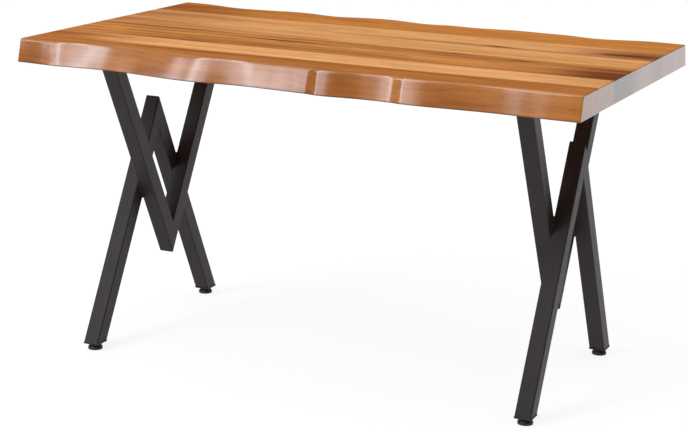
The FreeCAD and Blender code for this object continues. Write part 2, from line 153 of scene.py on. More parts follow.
def soft_patch(tree, bent, middle, half_size):
    """A soft long patch: 1 in its middle, 0 at its rim. Sizes are in millimetres, along and across."""
    scale = (1 / (half_size[0] * MM), 1 / (half_size[1] * MM), 0.0)
    offset = (-middle[0] / half_size[0], -middle[1] / half_size[1], 0.0)
    local = add_node(tree, "ShaderNodeMapping", {"Vector": bent, "Location": offset, "Scale": scale})
    reach = add_node(tree, "ShaderNodeVectorMath", {0: local.outputs[0]}, operation="LENGTH")
    mask = add_node(tree, "ShaderNodeMapRange", {
        "Value": reach.outputs["Value"], "From Min": 1.0, "From Max": PATCH_CORE},
        interpolation_type="SMOOTHSTEP")
    return mask.outputs[0]


print("rings every", round(RING_WIDTH / MM), "mm")

# %% [markdown]
# ## One tone from all the patterns
#
# The patterns could each carry a colour of their own, but then six boards would need dozens of colours.
# Here they add up to one tone, from 0 to 1, which will pick a colour between a board's pale and dark wood.
# Each board weighs the patterns in its own way.

# %% Add the patterns up
BAND_LENGTH, BAND_WIDTH = 900 * MM, 40 * MM
STREAK_LENGTH, STREAK_WIDTH = 380 * MM, 20 * MM
NOISE_LIMITS = {"From Min": 0.3, "From Max": 0.7}     # a noise seldom goes beyond these


def board_tone(tree, bent, pith, seed, shares, patches):
    """How dark the wood is, from 0 to 1. Shares weigh the bands, the streaks, the rings and a base tone."""
    band_share, streak_share, ring_share, base = shares
    tone = add_node(tree, "ShaderNodeMapRange", {
        "Value": streaks(tree, bent, seed, BAND_LENGTH, BAND_WIDTH), **NOISE_LIMITS,
        "To Min": base, "To Max": base + band_share}).outputs[0]
    finer = add_node(tree, "ShaderNodeMapRange", {
        "Value": streaks(tree, bent, seed + 1, STREAK_LENGTH, STREAK_WIDTH), **NOISE_LIMITS,
        "To Min": -streak_share / 2, "To Max": streak_share / 2}).outputs[0]
    tone = add_node(tree, "ShaderNodeMath", {0: tone, 1: finer}, operation="ADD").outputs[0]
    layers = [(growth_rings(tree, bent, pith), ring_share)]
    for middle, half_size, strength in patches:
        layers.append((soft_patch(tree, bent, middle, half_size), strength))
    for mask, strength in layers:
        tone = add_node(tree, "ShaderNodeMath", {
            0: mask, 1: strength, 2: tone}, operation="MULTIPLY_ADD").outputs[0]
    return add_node(tree, "ShaderNodeClamp", {"Value": tone}).outputs[0]


print("bands about", round(BAND_WIDTH / MM), "mm wide, streaks", round(STREAK_WIDTH / MM), "mm")

# %% [markdown]
# ## Pores, sawn ends and a painted shade line
#
# Pores are short dark dashes. Real ones are a third of a millimetre wide, and these are drawn wider so
# that they show. The sawn ends soak up more varnish, so faces that look along X take a darker tone, which
# each board has as its own. A thin dark line along the lower rim of the edges and ends is painted shade: it
# stands for the shade under the bottom edge. All of these could be painted on. Reading the face's
# direction and the point's height instead puts them on every board at once.

# %% Find the pores, the ends and the painted shade line
PORE_LENGTH, PORE_WIDTH = 55 * MM, 1.6 * MM
PORE_LIMITS = {"From Min": 0.56, "From Max": 0.72}    # only the peaks of the noise are pores
SQUARE_LIMITS = {"From Min": 0.8, "From Max": 0.95}   # a face looks along an axis beyond about these
PORE_SHARE, END_SHARE, SHADE_LINE_SHARE = 0.35, 0.7, 0.8     # how far each one hides the wood's own colour
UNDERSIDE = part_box("front_live_edge_board")[0].z
# The dark line along the lower rim is painted shade, up to this height above the underside.
SHADE_LINE_HEIGHT = 4 * MM


def pore_grain(tree, bent):
    """A fine noise, drawn out along the board, whose peaks are the pores."""
    fine = add_node(tree, "ShaderNodeMapping", {
        "Vector": bent, "Scale": (1 / PORE_LENGTH, 1 / PORE_WIDTH, 1 / PORE_WIDTH)})
    grain = add_node(tree, "ShaderNodeTexNoise", {"Vector": fine.outputs[0], "Scale": 1.0, "Detail": 3.0})
    return grain.outputs["Fac"]


def faces_along(tree, axis, most=1.0):
    """How far a face looks along an axis, either way, from 0 up to the given share."""
    normal = add_node(tree, "ShaderNodeNewGeometry").outputs["Normal"]
    towards = add_node(tree, "ShaderNodeSeparateXYZ", {0: normal}).outputs[axis]
    either_way = add_node(tree, "ShaderNodeMath", {0: towards}, operation="ABSOLUTE").outputs[0]
    share = add_node(tree, "ShaderNodeMapRange", {"Value": either_way, **SQUARE_LIMITS, "To Max": most})
    return share.outputs[0]


def painted_shade_line(tree, flat):
    """Painted shade: a thin dark line at the bottom of every face that isn't level, for the shade under the
    rim.
    """
    place = add_node(tree, "ShaderNodeTexCoord").outputs["Object"]
    height = add_node(tree, "ShaderNodeSeparateXYZ", {0: place}).outputs["Z"]
    bottom = add_node(tree, "ShaderNodeMapRange", {
        "Value": height, "From Min": UNDERSIDE + SHADE_LINE_HEIGHT, "From Max": UNDERSIDE, "To Max": SHADE_LINE_SHARE})
    upright = add_node(tree, "ShaderNodeMath", {0: 1.0, 1: flat}, operation="SUBTRACT")
    rim = add_node(tree, "ShaderNodeMath", {
        0: bottom.outputs[0], 1: upright.outputs[0]}, operation="MULTIPLY")
    return rim.outputs[0]


print("pores drawn", round(PORE_WIDTH / MM, 1), "mm wide, underside at", round(UNDERSIDE, 3))

# %% [markdown]
# ## The varnish
#
# Varnish is a clear resin that was brushed on. It deepens the wood's colour and gives the eye a second,
# smoother surface above the pores, which it nearly fills. The level faces were rubbed down to satin, and
# the edges and ends keep the gloss of the last coat. One shader with a changing gloss could show both, but
# an exported model keeps only one number for a coat's roughness, so two shaders are mixed instead.

# %% Build one board's material
# The second colour is painted shade, the dark line along the lower rim.
PORE_COLOUR, SHADE_LINE_COLOUR = "#4a2510", "#2e1a10"
PORE_DEPTH = 0.3 * MM
OPEN_PORES, FILLED_PORES = 0.2, 0.05     # how strongly the pores show in the wood and in the varnish

# Rubbed varnish mirrors next to nothing. Glossy varnish is a coat with a resin's own IOR over matt wood.
SATIN = {"Roughness": 0.55, "Specular IOR Level": 0.03}
GLOSS = {"Roughness": 0.5, "Specular IOR Level": 0.05,
         "Coat Weight": 1.0, "Coat Roughness": 0.16, "Coat IOR": 1.55}


def varnished_walnut(name, pale, dark, sawn_end, pith, seed, shares, patches):
    """Walnut under varnish, satin on the level faces and glossy on the edges and ends."""
    material, tree = new_material(name)
    bent = wood_place(tree)
    tone = board_tone(tree, bent, pith, seed, shares, patches)
    grain = pore_grain(tree, bent)
    pores = add_node(tree, "ShaderNodeMapRange", {"Value": grain, **PORE_LIMITS, "To Max": PORE_SHARE})
    flat = faces_along(tree, "Z")
    ends = faces_along(tree, "X", END_SHARE)
    # A painted shade line along the lower rim of the edges and ends.
    rim = painted_shade_line(tree, flat)
    wood = linear(pale)
    layers = ((tone, dark), (pores.outputs[0], PORE_COLOUR), (ends, sawn_end), (rim, SHADE_LINE_COLOUR))
    for share, colour in layers:
        wood = add_node(tree, "ShaderNodeMix", {
            MIX_FACTOR: share, MIX_A: wood, MIX_B: linear(colour)}, data_type="RGBA").outputs[MIX_RESULT]
    relief = add_node(tree, "ShaderNodeBump", {
        "Height": grain, "Strength": OPEN_PORES, "Distance": PORE_DEPTH}).outputs[0]
    filled = add_node(tree, "ShaderNodeBump", {
        "Height": grain, "Strength": FILLED_PORES, "Distance": PORE_DEPTH}).outputs[0]
    rubbed = add_node(tree, "ShaderNodeBsdfPrincipled", {"Base Color": wood, "Normal": relief, **SATIN})
    glossy = add_node(tree, "ShaderNodeBsdfPrincipled", {
        "Base Color": wood, "Normal": relief, "Coat Normal": filled, **GLOSS})
    surface = add_node(tree, "ShaderNodeMixShader", {0: flat, 1: glossy.outputs[0], 2: rubbed.outputs[0]})
    add_node(tree, "ShaderNodeOutputMaterial", {"Surface": surface.outputs[0]})
    return material


print("coat over the edges: IOR", GLOSS["Coat IOR"], "roughness", GLOSS["Coat Roughness"])

# %% [markdown]
# ## Six boards, each its own wood
#
# A maker lays boards side by side until pale and dark make a pleasant pattern. Here a dark board runs
# down the middle between pale ones, and the two live-edge boards are an even orange brown. One material
# for all would need masks to tell the boards apart, so each board gets its own from the same function.

# %% Dress the boards
# The pith is at (across, up). A patch is its middle (along, across), its half length and half width, and
# how much darker it is, or paler where that is below zero. Places and sizes are in millimetres.
# The broad patches about 700 mm left of the middle, on four of the boards, are painted shade for the
# fainter sheen at that end.
BOARDS = {
    "front_live_edge_board": dict(
        pale="#d0833c", dark="#8b4713", sawn_end="#976343", pith=(-330, 560), seed=3.1,
        shares=(0.45, 0.35, 0.15, 0.1), patches=[
            ((0, -332), (1100, 16), 0.35), ((545, -352), (160, 16), 0.3), ((130, -420), (160, 30), 0.4),
            ((390, -428), (130, 32), 0.25), ((-340, -402), (90, 30), 0.25), ((650, -432), (120, 40), -0.22),
            ((-665, -402), (75, 40), 0.25), ((-495, -395), (75, 25), 0.18)]),
    "front_inner_board": dict(
        pale="#fdbb78", dark="#a8560f", sawn_end="#704632", pith=(-200, 300), seed=7.7,
        shares=(0.25, 0.32, 0.14, 0.0), patches=[
            ((-700, -260), (380, 120), 0.7), ((700, -260), (220, 110), 0.22)]),
    "front_centre_board": dict(
        pale="#e4974c", dark="#743406", sawn_end="#4a3228", pith=(-110, 640), seed=1.4,
        shares=(0.45, 0.5, 0.2, 0.05), patches=[
            ((-470, -36), (230, 14), 0.55), ((-150, -76), (130, 16), 0.5), ((-145, -100), (40, 9), 0.45),
            ((14, -111), (70, 12), 0.35), ((73, -96), (70, 10), -0.25), ((270, -37), (60, 10), 0.45),
            ((440, -58), (70, 14), 0.5), ((690, -130), (220, 110), 0.7)]),
    "rear_centre_board": dict(
        pale="#f8b46f", dark="#9c500f", sawn_end="#644032", pith=(60, 280), seed=4.6,
        shares=(0.25, 0.32, 0.14, 0.0), patches=[
            ((-300, -5), (500, 40), 0.35), ((-700, 40), (500, 100), 0.5)]),
    "rear_inner_board": dict(
        pale="#f7b26e", dark="#7c3500", sawn_end="#724432", pith=(200, 320), seed=9.2,
        shares=(0.2, 0.28, 0.12, 0.0), patches=[
            ((280, 118), (460, 26), 0.3), ((-156, 148), (60, 12), 0.4), ((315, 131), (60, 16), 0.55),
            ((-700, 170), (480, 110), 0.42), ((690, 165), (280, 105), 0.72), ((605, 153), (75, 16), 0.5)]),
    "rear_live_edge_board": dict(
        pale="#e29140", dark="#934d12", sawn_end="#6b4230", pith=(330, 520), seed=5.8,
        shares=(0.35, 0.32, 0.14, 0.02), patches=[
            ((-700, 320), (520, 140), 0.6), ((-200, 360), (220, 90), 0.2)]),
}


def dress(node, material):
    """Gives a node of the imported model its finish."""
    nodes[node].data.materials.clear()
    nodes[node].data.materials.append(material)


woods = {board: varnished_walnut(f"varnished_walnut_{board}", **wood) for board, wood in BOARDS.items()}
for board, material in woods.items():
    dress(board, material)
print("boards dressed:", len(BOARDS))

# %% [markdown]
# ## From points to a piece
#
# The small parts that follow are built from loops of points, each joined to the next by a band of faces.
# Blender's ready shapes and modifiers could make some of them, but loops make all of them in one way, and
# every point is known. A finished shape becomes an object that rides on one body of the table and gets its
# material.

# %% Join loops and make pieces
import bmesh


def join_loops(shape, loops):
    """Joins closed loops of points, one after the other, and returns each band's faces."""
    bands = []
    for first, second in zip(loops, loops[1:]):
        band = []
        for index in range(len(first)):
            after = (index + 1) % len(first)
            band.append(shape.faces.new((first[index], first[after], second[after], second[index])))
        bands.append(band)
    return bands


def new_piece(name, shape, material, body):
    """Turns a finished shape into a piece of the table."""
    bmesh.ops.recalc_face_normals(shape, faces=shape.faces)
    mesh = bpy.data.meshes.new(name)
    shape.to_mesh(mesh)
    shape.free()
    mesh.materials.append(material)
    piece = bpy.data.objects.new(name, mesh)
    bpy.context.scene.collection.objects.link(piece)
    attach(piece, body)
    return piece


slots = sorted({part["material_slot"] for part in frame["record"]["subparts"]})
print("slots:", slots)

# %% [markdown]
# ## Reading the live edges
#
# A live edge is the outside of the log, with its own waves. The solid has these already, and a hand-made
# copy would drift from them, so rays from outside read the solid's edge, column by column and level by
# level. The solid's edge has facets along the board and a slope that changes often. Sanding evens both,
# and so does a blur: a short one for the facets, and a long one for the slope alone, which keeps the waves.

# %% Read an edge off its solid
import numpy as np

COLUMNS, LEVELS = 561, 12
ARRIS = 2 * MM                                        # how far the rims of the sawn ends are eased
FACET_REACH, SLOPE_REACH = 9 * MM, 140 * MM
INSIDE_ENDS, INSIDE_FACES = 0.9999, 0.05 * MM         # rays keep just inside the solid's ends and faces
BLUR_REACHES = 3                                      # a blur fades out after this many reaches


def heights(low, high):
    """Levels up the outer face. The first and last are the eased rims of the sawn ends."""
    inner = [low + ARRIS + (high - low - 2 * ARRIS) * step / (LEVELS - 1) for step in range(LEVELS)]
    return [low, *inner, high]


def smoothed(line, reach, spacing):
    """A line of values blurred along the board over about a reach, with its ends kept in place."""
    count = int(BLUR_REACHES * reach / spacing)
    weights = np.exp(-0.5 * (np.arange(-count, count + 1) * spacing / reach) ** 2)
    padded = np.pad(line, count, mode="reflect", reflect_type="odd")
    return np.convolve(padded, weights / weights.sum(), "valid")


def outer_lines(solid, facing, levels, halves):
    """The solid's outer edge at each level, as places across, with its slope evened along the board."""
    shares = np.linspace(-1, 1, COLUMNS)
    spacing = halves[1] * 2 / (COLUMNS - 1)
    lines = []
    for level, half in zip(levels, halves):
        starts = [Vector((share * half * INSIDE_ENDS, facing, level)) for share in shares]
        hits = [solid.ray_cast(start, Vector((0, -facing, 0)))[0].y for start in starts]
        lines.append(smoothed(hits, FACET_REACH, spacing))
    middle = np.mean(lines, axis=0)
    return [middle + smoothed(line - middle, SLOPE_REACH, spacing) for line in lines]


print("rays for each edge:", COLUMNS * (LEVELS + 2))

# %% [markdown]
# ## Scoops in the live edges
#
# The bark comes off with a drawknife, and sanding leaves shallow upright scoops that a solid model has no
# use for. Bump in the material would not change the outline or the exported mesh, so the scoops and a fine
# ripple are pressed into the edge itself, always inwards. Many scoops are steeper on one side than on the
# other, and where one turns towards a lamp, it shows the lamp as an upright band.

# %% Say how deep the scoops go
from mathutils import noise

RIPPLE_LENGTH, RIPPLE_HEIGHT, RIPPLE_DEPTH = 42 * MM, 240 * MM, 0.5 * MM

# Scoops in millimetres: where each starts, is deepest and ends along the board, and its depth.
SCOOPS = {
    "front": ((-760, -632, -578, 4.8), (-495, -430, -330, 1.0), (-262, -122, 40, 4.7), (-66, 68, 96, 4.6),
              (200, 268, 300, 3.0), (200, 268, 460, 2.4), (530, 625, 740, 1.0)),
    "rear": ((-630, -560, -490, 2.0), (-300, -240, -180, 1.5), (50, 130, 210, 2.0), (410, 470, 530, 1.8)),
}


def pressed_in(along, level, facing, scoops):
    """How deep the drawknife and the sander went at a point of the live edge."""
    ripple = noise.noise(Vector((along / RIPPLE_LENGTH, facing, level / RIPPLE_HEIGHT)))
    depth = RIPPLE_DEPTH * (0.5 + 0.5 * ripple)
    for start, deepest, end, most in scoops:
        reach = deepest - start if along / MM < deepest else end - deepest
        offset = (along / MM - deepest) / reach
        if abs(offset) < 1:
            depth += most * MM * math.cos(offset * math.pi / 2) ** 2
    return depth


print("scoops:", {name: len(scoops) for name, scoops in SCOOPS.items()})

# %% [markdown]
# ## Two carved boards
#
# A board is a row of loops from end to end. Each loop climbs the live edge, level by level, and comes back
# down the straight glue line. At both sawn ends the first and last levels stop a little short, which eases
# the rim. The solids could be cut instead, but they stay as they were packed, so each carved board is built
# new and then takes the place of its solid.

# %% Carve the boards
from mathutils.bvhtree import BVHTree

FACINGS = {"front": -1, "rear": 1}     # which way along Y the outer side of each looks
GLUE_LEVELS = (-1, -2, 1, 0)           # the levels that come back down the glue line


def board_loops(shape, node, facing, scoops):
    """The board's loops: points up the carved edge, then points down the glue line."""
    low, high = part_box(node)
    solid = BVHTree.FromPolygons([point.co for point in nodes[node].data.vertices],
                                 [face.vertices for face in nodes[node].data.polygons])
    levels = heights(low.z, high.z)
    halves = [high.x - ARRIS if level in (levels[0], levels[-1]) else high.x for level in levels]
    inside = [min(max(level, low.z + INSIDE_FACES), high.z - INSIDE_FACES) for level in levels]
    lines = outer_lines(solid, facing, inside, halves)
    glue_line = high.y if facing < 0 else low.y
    loops = []
    for column in range(COLUMNS):
        share = 2 * column / (COLUMNS - 1) - 1
        loop = []
        for level, half, line in zip(levels, halves, lines):
            depth = pressed_in(share * half, level, facing, scoops)
            across = min(max(line[column] - facing * depth, low.y), high.y)
            loop.append(shape.verts.new((share * half, across, level)))
        for index in GLUE_LEVELS:
            loop.append(shape.verts.new((share * halves[index], glue_line, levels[index])))
        loops.append(loop)
    return loops


def carved_board(name, node, facing, scoops):
    """A dense copy of an outer board whose live edge has shallow scoops."""
    shape = bmesh.new()
    loops = board_loops(shape, node, facing, scoops)
    for band in join_loops(shape, loops):
        for face in band[:LEVELS]:
            face.smooth = True
    for loop in (loops[0], loops[-1]):
        edge = loop[:-len(GLUE_LEVELS)]
        top, shoulder, foot, base = loop[-len(GLUE_LEVELS):]
        shape.faces.new((*edge[1:-1], shoulder, foot))
        shape.faces.new((edge[-2], edge[-1], top, shoulder))
        shape.faces.new((edge[0], edge[1], foot, base))
    board = new_piece(name, shape, woods[node], "table")
    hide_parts(node)
    return board


for name, facing in FACINGS.items():
    carved = carved_board(f"{name}_carved_board", f"{name}_live_edge_board", facing, SCOOPS[name])
    print(carved.name, len(carved.data.polygons), "faces")

# %% [markdown]
# ## Black powder coat, nylon and zinc
#
# Powder coat is paint that was sprayed on dry and baked: a satin black with a fine, even grain like the
# skin of an orange. The plugs and pads are nylon, moulded in a tool with a matt texture. The screws, nuts
# and studs are steel with bright zinc plating, which is a metal to the eye, a little cloudy from the bath.
# All three are even finishes with a grain, so one function builds them. A plain colour would look like
# plastic film: the grain shifts tone, gloss and relief a little, and a slow cloud shifts the tone as well.

# %% Build the hardware finishes
COAT_GRAIN = 1.2 * MM        # real grain is about half of this, too fine to show
NYLON_GRAIN = 0.8 * MM       # real texture is finer too
ZINC_GRAIN = 6 * MM          # the clouds that the bath leaves
SLOW_CLOUD = 45 * MM         # every finish varies slowly over this length
CLOUDED_LIMITS = {"From Min": 0.6, "From Max": 1.4}     # grain and cloud add up to about this range
GLOSS_SWING = 0.06           # how far the grain shifts the roughness, either way
GRAIN_RELIEF = 0.3


def grained(name, colour, deep, grain, roughness, relief_depth, gloss_level=0.5, metallic=0.0):
    """A hard finish with an even grain that shifts its tone, gloss and relief."""
    material, tree = new_material(name)
    place = add_node(tree, "ShaderNodeTexCoord").outputs["Object"]
    speckle = add_node(tree, "ShaderNodeTexNoise", {
        "Vector": place, "Scale": 1 / grain, "Detail": 2.0}).outputs["Fac"]
    cloud = add_node(tree, "ShaderNodeTexNoise", {"Vector": place, "Scale": 1 / SLOW_CLOUD}).outputs["Fac"]
    both = add_node(tree, "ShaderNodeMath", {0: speckle, 1: cloud}, operation="ADD")
    share = add_node(tree, "ShaderNodeMapRange", {"Value": both.outputs[0], **CLOUDED_LIMITS})
    tone = add_node(tree, "ShaderNodeMix", {
        MIX_FACTOR: share.outputs[0], MIX_A: linear(deep), MIX_B: linear(colour)}, data_type="RGBA")
    gloss = add_node(tree, "ShaderNodeMapRange", {
        "Value": speckle, **NOISE_LIMITS,
        "To Min": roughness - GLOSS_SWING, "To Max": roughness + GLOSS_SWING})
    relief = add_node(tree, "ShaderNodeBump", {
        "Height": speckle, "Strength": GRAIN_RELIEF, "Distance": relief_depth})
    surface = add_node(tree, "ShaderNodeBsdfPrincipled", {
        "Base Color": tone.outputs[MIX_RESULT], "Roughness": gloss.outputs[0], "Metallic": metallic,
        "Specular IOR Level": gloss_level, "Normal": relief.outputs[0]})
    add_node(tree, "ShaderNodeOutputMaterial", {"Surface": surface.outputs[0]})
    return material


HARDWARE = {
    "black_powder_coat": dict(colour="#352c2c", deep="#1f1818", grain=COAT_GRAIN, roughness=0.46,
                              relief_depth=0.08 * MM, gloss_level=0.25),
    "black_nylon": dict(colour="#232222", deep="#161515", grain=NYLON_GRAIN, roughness=0.55,
                        relief_depth=0.05 * MM),
    "zinc_plated_steel": dict(colour="#c4c7c8", deep="#a4a8aa", grain=ZINC_GRAIN, roughness=0.3,
                              relief_depth=0.02 * MM, metallic=1.0),
}
finishes = {name: grained(name, **finish) for name, finish in HARDWARE.items()}
for part in frame["record"]["subparts"]:
    if part["material_slot"] in finishes:
        dress(part["node"], finishes[part["material_slot"]])
print("hardware finishes:", sorted(finishes))

# %% [markdown]
# ## Threads on the feet
#
# Each foot is a stud with a hexagon collar for a spanner. Screwing it out of the tube lifts that corner,
# and then its thread shows. The solid's shank is plain, so a stud with a real M8 thread takes its place.
# It is a stack of rings from the journal in the pad to the tip: round, hexagonal, and then a thread, where
# the radius at a point depends on how far the helix has climbed there. A screw modifier could turn the
# thread too, but the stack makes journal, collar and thread in one closed skin.

# %% Turn the four studs
STUD_POINTS = 36
STUD_ANGLES = [math.tau * index / STUD_POINTS for index in range(STUD_POINTS)]
PITCH, THREAD_DEPTH = 1.25 * MM, 0.767 * MM
FLANK_RISE, CREST_CUT = 1.25, 0.125      # crests and roots are each flat over a tenth of the pitch
STEPS_PER_TURN = 6
SHANK, JOURNAL = 4.0 * MM, 4.5 * MM
JOURNAL_LENGTH = 8 * MM
COLLAR_FLATS, COLLAR_HEIGHT, COLLAR_EASING = 14 * MM, 4 * MM, 0.4 * MM


def skin(shape, rings):
    """Joins rings of points, one after the other, and closes both ends."""
    loops = [[shape.verts.new(point) for point in ring] for ring in rings]
    join_loops(shape, loops)
    shape.faces.new(loops[0])
    shape.faces.new(loops[-1])


def hexagon_radius(angle, flats):
    """How far a hexagon's rim lies from its centre, with a flat facing along X."""
    return flats / 2 / math.cos((angle + math.pi / 6) % (math.pi / 3) - math.pi / 6)


def thread_radius(angle, climb):
    """How far the thread's flank lies from the axis at an angle and a height."""
    turn = (climb / PITCH - angle / math.tau) % 1
    return SHANK - THREAD_DEPTH * min(max(abs(2 * turn - 1) * FLANK_RISE - CREST_CUT, 0), 1)


def stud_rings(low, high):
    """The stud's levels from low to high, each with its radius at every angle."""
    collar = low + JOURNAL_LENGTH
    shank = collar + COLLAR_HEIGHT
    rings = [(low, [JOURNAL] * STUD_POINTS), (collar, [JOURNAL] * STUD_POINTS)]
    for level, inset in ((collar, COLLAR_EASING), (collar + COLLAR_EASING, 0),
                         (shank - COLLAR_EASING, 0), (shank, COLLAR_EASING)):
        rings.append((level, [hexagon_radius(angle, COLLAR_FLATS) - inset for angle in STUD_ANGLES]))
    for step in range(int((high - shank) / PITCH * STEPS_PER_TURN)):
        level = shank + step * PITCH / STEPS_PER_TURN
        rings.append((level, [thread_radius(angle, level) for angle in STUD_ANGLES]))
    rings.append((high, [SHANK - THREAD_DEPTH] * STUD_POINTS))
    return rings


def threaded_stud(foot):
    """A stud with a real thread, in the place of the plain one."""
    low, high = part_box(f"{foot}_foot_stud")
    axis = (low + high) / 2
    shape = bmesh.new()
    skin(shape, [[(axis.x + radius * math.cos(angle), axis.y + radius * math.sin(angle), level)
                  for radius, angle in zip(radii, STUD_ANGLES)]
                 for level, radii in stud_rings(low.z, high.z)])
    finish = "zinc_plated_steel"
    stud = new_piece(f"{foot}_threaded_stud", shape, finishes[finish], f"{foot}_stud")
    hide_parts(f"{foot}_foot_stud")
    return stud


SIDES = ("left", "right")
for foot in [f"{side}_{end}" for side in SIDES for end in FACINGS]:
    print(foot, "stud:", len(threaded_stud(foot).data.polygons), "faces")

# %% [markdown]
# ## Weld beads
#
# The tubes are welded, not screwed: where two limbs cross, a bead runs round the patch where they touch,
# and another runs round the top of each V, under its plate. A welder builds a bead drop by drop, which
# leaves ripples. A smooth fillet would look moulded, so each bead here is a rod that swells at every drop,
# laid into the corner between the two pieces so that a quarter of it shows.

# %% Lay a bead
BEAD_RADIUS, BEAD_SWELL, DROP_LENGTH = 2.4 * MM, 0.5 * MM, 3.5 * MM
BEAD_POINTS, STEPS_PER_DROP = 8, 4


def bead(shape, start, end):
    """A rippled rod between two points."""
    along = (end - start).normalized()
    side = along.orthogonal().normalized()
    other = along.cross(side)
    angles = [math.tau * index / BEAD_POINTS for index in range(BEAD_POINTS)]
    count = max(int((end - start).length / DROP_LENGTH), 1) * STEPS_PER_DROP
    rings = []
    for step in range(count + 1):
        radius = BEAD_RADIUS + BEAD_SWELL * abs(math.sin(math.pi * step / STEPS_PER_DROP))
        middle = start.lerp(end, step / count)
        rings.append([middle + radius * (side * math.cos(angle) + other * math.sin(angle))
                      for angle in angles])
    skin(shape, rings)


print("a drop every", round(DROP_LENGTH / MM, 1), "mm")

# %% [markdown]
# ## Where the beads go
#
# The corners of a bead are where the long sides of two limbs meet. They could be typed in, but then they
# would be wrong for a table of another size, so they are worked out from the boxes of the solids.


# %% Find the corners and weld the frames
def crossing(first, second):
    """Where two lines in the frame's plane meet. A line is a point (across, up) and its run per rise."""
    (across, up), run = first
    (other_across, other_up), other_run = second
    meet = (other_across - across + run * up - other_run * other_up) / (run - other_run)
    return across + run * (meet - up), meet


def limb_lines(low, high, facing, rises):
    """A limb's two long sides: the outer from its box's corners, the inner a tube's width further in."""
    reach = facing * max(abs(low.y), abs(high.y))
    run = (reach if rises else -reach) / (high.z - low.z)
    apex = (0.0, low.z if rises else high.z)
    width = (high.x - low.x) * math.hypot(1, run)
    return (apex, run), ((-facing * width, apex[1]), run)


def bead_corners(side, end, facing):
    """The corners of two closed beads on one limb of a V: round the crossing, and under the plate."""
    low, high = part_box(f"{side}_v_{end}_tube")
    plane = high.x if side == "right" else low.x
    outer, inner = limb_lines(low, high, facing, True)
    other_outer, other_inner = limb_lines(*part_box(f"{side}_inverted_v_{end}_tube"), facing, False)
    pairs = ((outer, other_outer), (outer, other_inner), (inner, other_inner), (inner, other_outer))
    patch = [Vector((plane, *crossing(first, second))) for first, second in pairs]
    far, near = [run * (high.z - apex[1]) + apex[0] for apex, run in (outer, inner)]
    rim = ((low.x, far), (high.x, far), (high.x, near), (low.x, near))
    return patch, [Vector((along, across, high.z)) for along, across in rim]


def weld_beads(side):
    """All beads of one frame."""
    shape = bmesh.new()
    for end, facing in FACINGS.items():
        for corners in bead_corners(side, end, facing):
            for start, stop in zip(corners, corners[1:] + corners[:1]):
                bead(shape, start, stop)
    finish = "black_powder_coat"
    return new_piece(f"{side}_weld_beads", shape, finishes[finish], "table")


for side in SIDES:
    print(side, "beads:", len(weld_beads(side).data.polygons), "faces")

# %% [markdown]
# ## The camera
#
# The view is from the right front, a little above the top, through a long lens that keeps the legs
# nearly parallel. Aiming the camera at a target would leave its roll to chance, so its own axes are built
# from its turn, tilt and roll, and its lens from the picture's width and the distance of the picture
# plane, both in pixels.

# %% Set the camera
PICTURE_WIDTH = 688
PICTURE_DISTANCE = 1821.84
SENSOR_WIDTH = 36            # a usual sensor, in millimetres
FAR_LIMIT = 200              # beyond the far rim of the floor
CAMERA_PLACE = Vector((1.7715, -3.9794, 1.4292))
TURN, TILT, ROLL = 0.4234, -0.2422, 0.0241

level_right = Vector((math.cos(TURN), math.sin(TURN), 0))
level_ahead = Vector((-math.sin(TURN), math.cos(TURN), 0))
ahead = level_ahead * math.cos(TILT) + Vector((0, 0, math.sin(TILT)))
level_up = level_right.cross(ahead)
right = level_right * math.cos(ROLL) + level_up * math.sin(ROLL)
up = level_up * math.cos(ROLL) - level_right * math.sin(ROLL)

camera_data = bpy.data.cameras.new("studio_camera")
camera_data.sensor_fit = "HORIZONTAL"
camera_data.sensor_width = SENSOR_WIDTH
camera_data.lens = SENSOR_WIDTH * PICTURE_DISTANCE / PICTURE_WIDTH
camera_data.clip_end = FAR_LIMIT
camera = bpy.data.objects.new("studio_camera", camera_data)
axes = Matrix((right, up, -ahead)).transposed()
camera.matrix_world = Matrix.Translation(CAMERA_PLACE) @ axes.to_4x4()
bpy.context.scene.collection.objects.link(camera)
bpy.context.scene.camera = camera
print("lens:", round(camera_data.lens, 1), "mm")

# %% [markdown]
# ## The floor
#
# The table stands on a sheet of white paper that the light almost burns out, so that only a trace of its
# shadow is left. More light would do that too, and would bleach the wood. So to the camera, and in
# reflections, the floor glows nearly white with a thin share of lit matt white on top, which is where the
# shadow shows. To light that bounces it is plain white paper.

# %% Lay the floor
FLOOR_RADIUS, FLOOR_POINTS = 40, 64
FLOOR_GLOW = 0.845           # the lit share on top brings it up to nearly white
material, tree = new_material("white_paper")
rays = add_node(tree, "ShaderNodeLightPath").outputs
seen = rays["Is Camera Ray"]
for kind in ("Is Glossy Ray", "Is Transmission Ray"):
    seen = add_node(tree, "ShaderNodeMath", {0: seen, 1: rays[kind]}, operation="MAXIMUM").outputs[0]
paper = add_node(tree, "ShaderNodeBsdfDiffuse", {"Color": linear("#e8e8e8")})
shade = add_node(tree, "ShaderNodeBsdfDiffuse", {"Color": linear("#828282")})
glow = add_node(tree, "ShaderNodeEmission", {"Color": linear("#ffffff"), "Strength": FLOOR_GLOW})
burnt_out = add_node(tree, "ShaderNodeAddShader", {0: shade.outputs[0], 1: glow.outputs[0]})
sheet = add_node(tree, "ShaderNodeMixShader", {0: seen, 1: paper.outputs[0], 2: burnt_out.outputs[0]})
add_node(tree, "ShaderNodeOutputMaterial", {"Surface": sheet.outputs[0]})

floor_mesh = bpy.data.meshes.new("floor")
angles = [math.tau * step / FLOOR_POINTS for step in range(FLOOR_POINTS)]
rim = [(FLOOR_RADIUS * math.cos(angle), FLOOR_RADIUS * math.sin(angle), 0) for angle in angles]
floor_mesh.from_pydata(rim, [], [range(FLOOR_POINTS)])
floor_mesh.materials.append(material)
floor = bpy.data.objects.new("floor", floor_mesh)
bpy.context.scene.collection.objects.link(floor)
print("floor radius:", FLOOR_RADIUS, "m")

